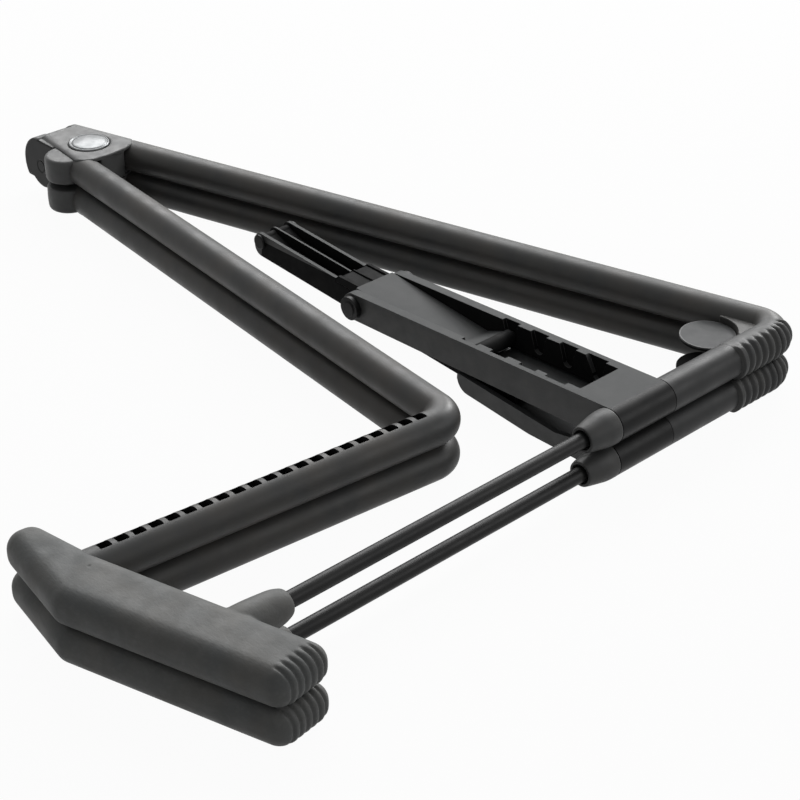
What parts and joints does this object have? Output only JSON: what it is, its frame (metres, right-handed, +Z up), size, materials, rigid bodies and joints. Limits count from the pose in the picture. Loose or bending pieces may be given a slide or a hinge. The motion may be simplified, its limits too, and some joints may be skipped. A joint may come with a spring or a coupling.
{
  "type": "guitar stand",
  "caption": "Folding A-frame guitar stand, folded flat, with hinged bent-tube frames and a notched locking brace.",
  "frame": {"origin": "centre of the underside of the folded stand", "axes": "+X along the foot tubes towards the rear legs, +Y from the feet to the head, +Z up from the surface that the folded stand lies on"},
  "size_m": [0.3617, 0.4518, 0.0346],
  "materials": {
    "frame_coating": "matt",
    "foot_rubber": "matt",
    "boot_rubber": "matt",
    "moulded_plastic": "fine grain",
    "head_casting": "fine grain",
    "black_steel": "satin",
    "badge_metal": "polished",
    "bright_steel": "satin"
  },
  "bodies": {
    "lower_half": {"lower_rear_leg": "frame_coating", "lower_front_leg": "frame_coating", "lower_foot_bar": "foot_rubber", "lower_tie_rod": "black_steel", "lower_nose_cone": "moulded_plastic", "lower_axle_bush": "black_steel", "lower_rear_boot": "boot_rubber", "lower_corner_plate": "moulded_plastic", "lower_head_block": "head_casting", "lower_leg_drum": "head_casting", "lower_badge": "badge_metal", "lower_head_screw": "bright_steel", "hinge_pin": "black_steel"},
    "upper_half": {"upper_rear_leg": "frame_coating", "upper_front_leg": "frame_coating", "upper_foot_bar": "foot_rubber", "upper_tie_rod": "black_steel", "upper_nose_cone": "moulded_plastic", "upper_axle_bush": "black_steel", "upper_rear_boot": "boot_rubber", "upper_corner_plate": "moulded_plastic", "upper_head_block": "head_casting", "upper_leg_drum": "head_casting", "upper_badge": "badge_metal", "upper_head_screw": "bright_steel"},
    "upper_arm": {"upper_arm": "moulded_plastic", "elbow_pin": "black_steel"},
    "lower_arm": {"lower_arm": "moulded_plastic", "strut_pin": "black_steel"},
    "strut": {"locking_strut": "moulded_plastic", "lock_pin": "black_steel"}
  },
  "joints": [
    {"name": "spread", "type": "hinge", "parent": "lower_half", "child": "upper_half", "pos_m": [0.05593, 0.20995, 0.0173], "axis": [-1, 0, 0], "range_deg": [0, 31]},
    {"name": "upper_arm_swing", "type": "hinge", "parent": "upper_half", "child": "upper_arm", "pos_m": [0.07542, -0.18205, 0.0257], "axis": [-1, 0, 0], "range_deg": [0, 26]},
    {"name": "lower_arm_swing", "type": "hinge", "parent": "lower_half", "child": "lower_arm", "pos_m": [0.07542, -0.18205, 0.0089], "axis": [1, 0, 0], "range_deg": [0, 26]},
    {"name": "strut_swing", "type": "hinge", "parent": "lower_arm", "child": "strut", "pos_m": [0.07542, 0.05394, 0.02129], "axis": [-1, 0, 0], "range_deg": [0, 56]}
  ],
  "couplings": [
    {"joint": "upper_arm_swing", "follows": "spread", "ratio": 0.83},
    {"joint": "lower_arm_swing", "follows": "spread", "ratio": 0.83},
    {"joint": "strut_swing", "follows": "spread", "ratio": 1.8029}
  ]
}
